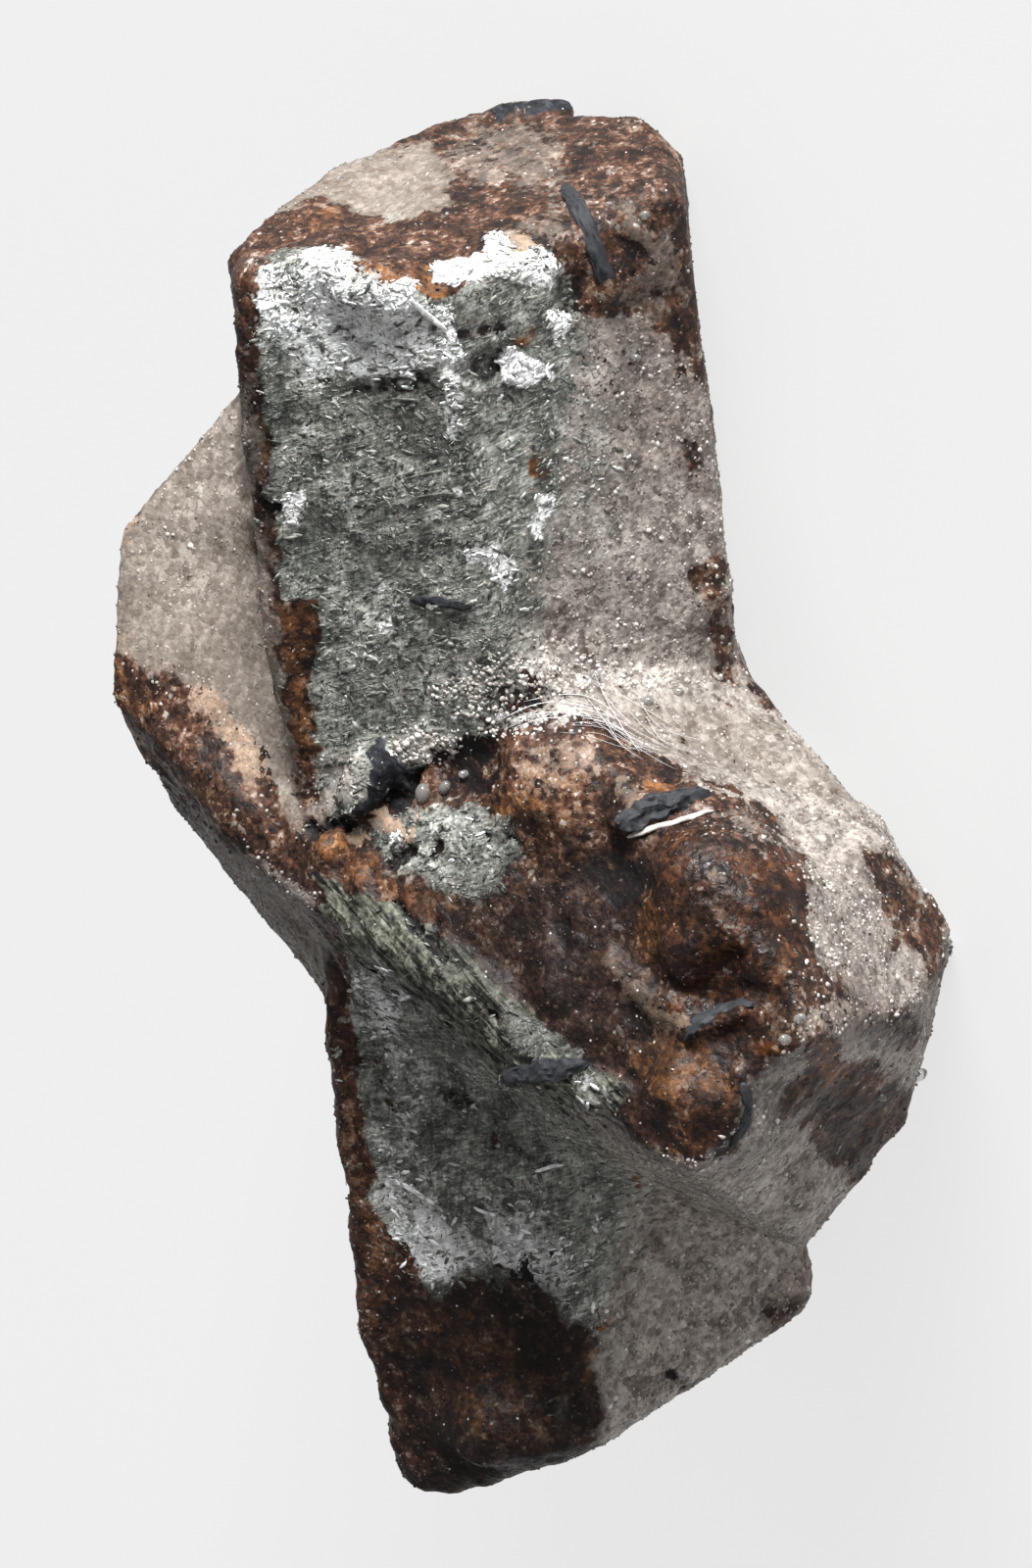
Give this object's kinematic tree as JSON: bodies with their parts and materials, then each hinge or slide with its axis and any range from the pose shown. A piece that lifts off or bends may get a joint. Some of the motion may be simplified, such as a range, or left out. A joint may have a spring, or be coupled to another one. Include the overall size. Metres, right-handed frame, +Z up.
{
  "type": "staurolite cross crystal twin",
  "caption": "Natural staurolite cross: two six-sided brown prisms grown through each other at sixty degrees, with a mica schist and sandy coat.",
  "frame": {"origin": "middle of the footprint, on the surface that the cross lies on", "axes": "+X along the long axis of the main prism, towards its bare top end; +Z up; the plane of the two prisms' long axes is level"},
  "size_m": [0.0254, 0.0194, 0.0096],
  "materials": {
    "staurolite": "dull resinous reddish-brown crystal with a grey mica schist and sandy beige coat"
  },
  "bodies": {
    "root": {"staurolite_cross": "staurolite"}
  },
  "joints": []
}
